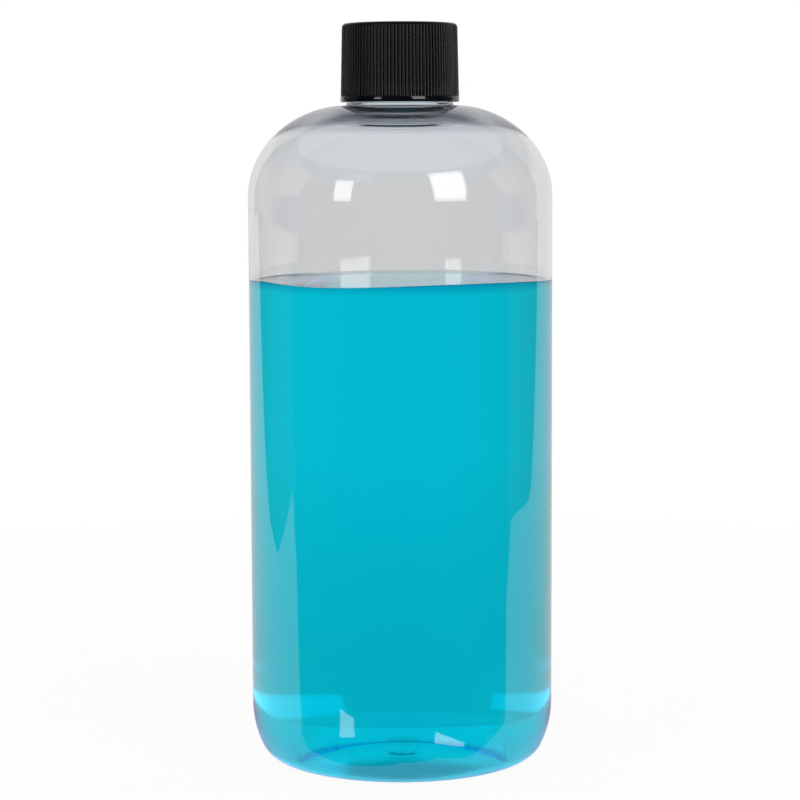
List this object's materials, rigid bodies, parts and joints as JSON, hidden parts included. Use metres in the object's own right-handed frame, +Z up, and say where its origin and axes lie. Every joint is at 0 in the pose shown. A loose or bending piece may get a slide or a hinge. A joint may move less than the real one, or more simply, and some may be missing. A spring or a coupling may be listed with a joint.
{
  "type": "boston round bottle",
  "caption": "Clear round-shouldered bottle of cyan liquid with a fine-ribbed black screw cap that unscrews and lifts off the neck, sealing the mouth with a soft disc.",
  "frame": {"origin": "centre of the ring the bottle stands on, in the standing plane", "axes": "+Z up along the bottle's axis, from the base to the cap"},
  "size_m": [0.069, 0.069, 0.1677],
  "materials": {
    "clear_wall": "clear and glossy",
    "cyan_liquid": "clear liquid",
    "soft_disc": "matt foam",
    "black_cap": "satin, moulded with fine ribs"
  },
  "bodies": {
    "bottle": {"bottle": "clear_wall", "liquid": "cyan_liquid"},
    "liner": {"liner": "soft_disc"},
    "cap": {"cap": "black_cap"}
  },
  "joints": [
    {"name": "cap_rise", "type": "slide", "parent": "bottle", "child": "liner", "axis": [0, 0, 1], "range_m": [0, 0.01906]},
    {"name": "cap_turn", "type": "hinge", "parent": "liner", "child": "cap", "pos_m": [0, 0, 0.158], "axis": [0, 0, 1], "range_deg": [0, 2160]}
  ],
  "couplings": [
    {"joint": "cap_rise", "follows": "cap_turn", "m_per_rad": 0.00050532}
  ]
}
